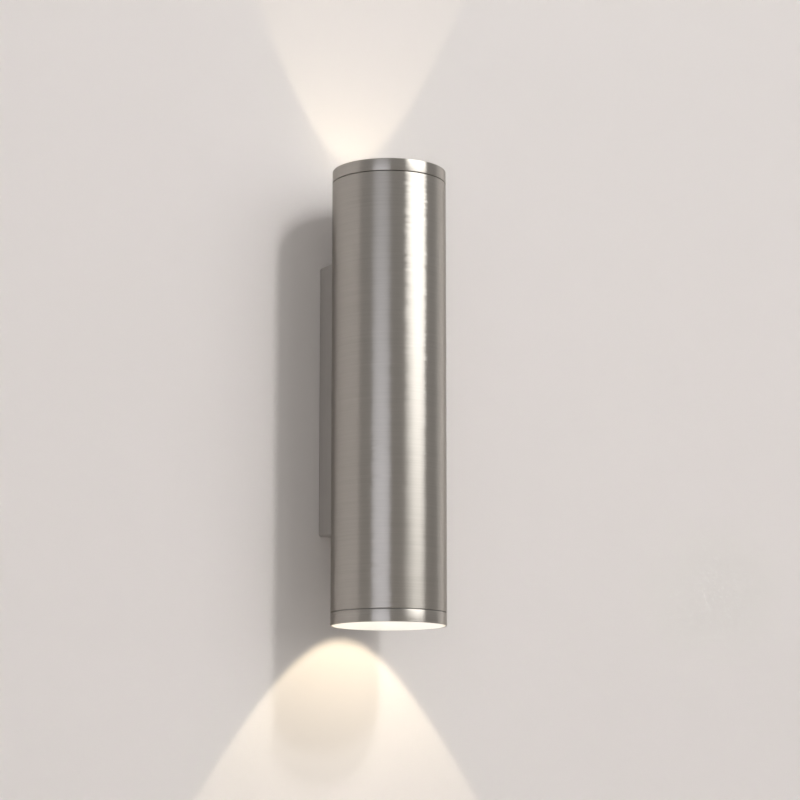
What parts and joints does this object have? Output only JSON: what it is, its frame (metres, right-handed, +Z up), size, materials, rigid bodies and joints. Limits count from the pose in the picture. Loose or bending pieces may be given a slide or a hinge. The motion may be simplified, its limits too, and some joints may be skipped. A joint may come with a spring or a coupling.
{
  "type": "tube wall light",
  "caption": "Upright brushed-metal tube wall light that shines up and down, with a white glass disc flush in a screw ring at each end and a slim box between tube and wall.",
  "frame": {"origin": "middle of the back box on the wall plane", "axes": "+Z up along the tube, +Y into the wall, so the light stands out from the wall along -Y"},
  "size_m": [0.075, 0.098, 0.3],
  "materials": {
    "brushed_steel": "stainless steel brushed round the tube, fine horizontal grain",
    "box_steel": "cast and brushed along its height, same tone as the tube",
    "opal_glass": "white opal glass, glowing when lit",
    "turned_aluminium": "turned, not polished",
    "silicone": "translucent white silicone",
    "black_rubber": "matt black rubber",
    "foam": "closed-cell foam, matt",
    "lamp_casing": "moulded thermoplastic over an aluminium core",
    "lamp_optic": "moulded clear optic",
    "plated_pins": "nickel plated",
    "ceramic": "unglazed white steatite ceramic",
    "brass": "plain pressed brass",
    "zinc_steel": "zinc-plated steel sheet",
    "zinc_screws": "zinc-plated steel",
    "white_nylon": "moulded nylon",
    "lead_sleeve": "white fluoropolymer insulation",
    "earth_sleeve": "green and yellow insulation"
  },
  "bodies": {
    "root": {"body_tube": "brushed_steel", "inner_frame": "zinc_steel", "frame_nuts": "zinc_screws", "body_screws": "zinc_screws", "wire_bush": "black_rubber", "back_box": "box_steel", "box_screws": "zinc_screws", "wall_bracket": "zinc_steel", "wall_gasket": "foam", "cable_grommet": "black_rubber", "terminal_block": "white_nylon", "terminal_inserts": "brass", "clamp_screws": "zinc_screws", "block_screws": "zinc_screws", "earth_tags": "brass", "earth_screws": "zinc_screws", "earth_lead": "earth_sleeve", "upper_collar": "turned_aluminium", "upper_lampholder": "ceramic", "upper_contacts": "brass", "upper_lampholder_screws": "zinc_screws", "upper_leads": "lead_sleeve", "lower_collar": "turned_aluminium", "lower_lampholder": "ceramic", "lower_contacts": "brass", "lower_lampholder_screws": "zinc_screws", "lower_leads": "lead_sleeve"},
    "upper_seal": {"upper_ring_seal": "silicone"},
    "upper_end_ring": {"upper_ring": "brushed_steel", "upper_glass": "opal_glass", "upper_glass_washer": "silicone"},
    "upper_lamp": {"upper_lamp_body": "lamp_casing", "upper_lamp_optic": "lamp_optic", "upper_lamp_pins": "plated_pins"},
    "lower_seal": {"lower_ring_seal": "silicone"},
    "lower_end_ring": {"lower_ring": "brushed_steel", "lower_glass": "opal_glass", "lower_glass_washer": "silicone"},
    "lower_lamp": {"lower_lamp_body": "lamp_casing", "lower_lamp_optic": "lamp_optic", "lower_lamp_pins": "plated_pins"}
  },
  "joints": [
    {"name": "upper_ring_travel", "type": "slide", "parent": "root", "child": "upper_seal", "axis": [0, 0, 1], "range_m": [0, 0.006]},
    {"name": "upper_ring_turn", "type": "hinge", "parent": "upper_seal", "child": "upper_end_ring", "pos_m": [0, -0.0605, 0.138], "axis": [0, 0, 1], "range_deg": [0, 1080]},
    {"name": "upper_lamp_twist", "type": "hinge", "parent": "root", "child": "upper_lamp", "pos_m": [0, -0.0605, 0.08], "axis": [0, 0, 1], "range_deg": [0, 25]},
    {"name": "lower_ring_travel", "type": "slide", "parent": "root", "child": "lower_seal", "axis": [0, 0, -1], "range_m": [0, 0.006]},
    {"name": "lower_ring_turn", "type": "hinge", "parent": "lower_seal", "child": "lower_end_ring", "pos_m": [0, -0.0605, -0.146], "axis": [0, 0, -1], "range_deg": [0, 1080]},
    {"name": "lower_lamp_twist", "type": "hinge", "parent": "root", "child": "lower_lamp", "pos_m": [0, -0.0605, -0.088], "axis": [0, 0, -1], "range_deg": [0, 25]}
  ],
  "couplings": [
    {"joint": "upper_ring_travel", "follows": "upper_ring_turn", "m_per_rad": 0.0003183},
    {"joint": "lower_ring_travel", "follows": "lower_ring_turn", "m_per_rad": 0.0003183}
  ]
}
